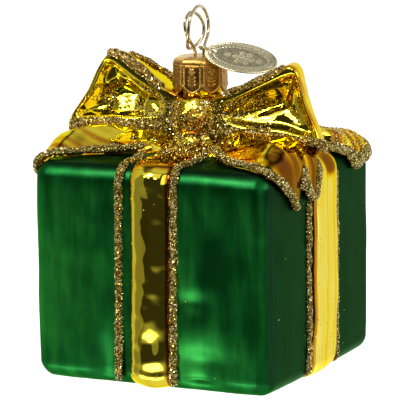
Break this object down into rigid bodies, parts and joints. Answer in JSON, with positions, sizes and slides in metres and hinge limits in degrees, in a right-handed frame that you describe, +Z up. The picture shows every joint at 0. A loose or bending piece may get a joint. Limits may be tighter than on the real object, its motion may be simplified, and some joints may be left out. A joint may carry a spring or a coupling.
{
  "type": "gift box glass ornament",
  "caption": "Hanging blown-glass ornament shaped like a wrapped gift box with ribbon bands, a bow, glitter edging, a metal crown cap, wire hanger and oval charm.",
  "frame": {"origin": "middle of the underside, on the flat crossing of the two ribbons that the ornament stands on", "axes": "+Z up along the hanger, +Y from the front of the bow to its back, +X to the bow's right loop seen from the front"},
  "size_m": [0.0731, 0.0676, 0.095],
  "materials": {
    "green_glass": "blown glass silvered inside and lacquered translucent emerald outside, opaque, satin to glossy",
    "gold_lacquer": "the same glass lacquered mirror gold on the ribbons and the bow, high gloss",
    "glitter": "raised line of glue loaded with coarse gold glitter, sparkling",
    "cap_bronze": "stamped thin metal in antique gold, embossed, satin",
    "wire_brass": "pale bright brass wire",
    "charm_pale": "pale champagne metal, satin, with a reeded rim"
  },
  "bodies": {
    "glass": {"glass_shell": "green_glass", "trim_front_left": "glitter", "trim_front_right": "glitter", "trim_back_left": "glitter", "trim_back_right": "glitter", "trim_right_front": "glitter", "trim_right_back": "glitter", "trim_left_front": "glitter", "trim_left_back": "glitter", "trim_tail_front_right": "glitter", "trim_tail_front_left": "glitter", "trim_fork_front_right": "glitter", "trim_fork_front_left": "glitter", "trim_tail_back_right": "glitter", "trim_tail_back_left": "glitter", "trim_bow_right_top": "glitter", "trim_bow_left_top": "glitter", "trim_bow_right_back": "glitter", "trim_bow_left_back": "glitter", "trim_bow_right_low": "glitter", "trim_bow_left_low": "glitter", "trim_knot": "glitter"},
    "crown": {"cap": "cap_bronze"},
    "hanger": {"hanger_wire": "wire_brass"},
    "ring": {"jump_ring": "wire_brass"},
    "charm": {"tag": "charm_pale"}
  },
  "joints": [
    {"name": "cap_lift", "type": "slide", "parent": "glass", "child": "crown", "axis": [0, 0, 1], "range_m": [0, 0.022]},
    {"name": "hanger_slide", "type": "slide", "parent": "crown", "child": "hanger", "axis": [0, 0, 1], "range_m": [0, 0.005]},
    {"name": "ring_swivel", "type": "hinge", "parent": "hanger", "child": "ring", "pos_m": [0.0005, -0.0003, 0.0836], "axis": [0, 0, 1], "range_deg": [-8, 36]},
    {"name": "charm_swing", "type": "hinge", "parent": "ring", "child": "charm", "pos_m": [0.0037, -0.0019, 0.0833], "axis": [-0.3935, -0.7923, 0.4664], "range_deg": [0, 42]}
  ]
}
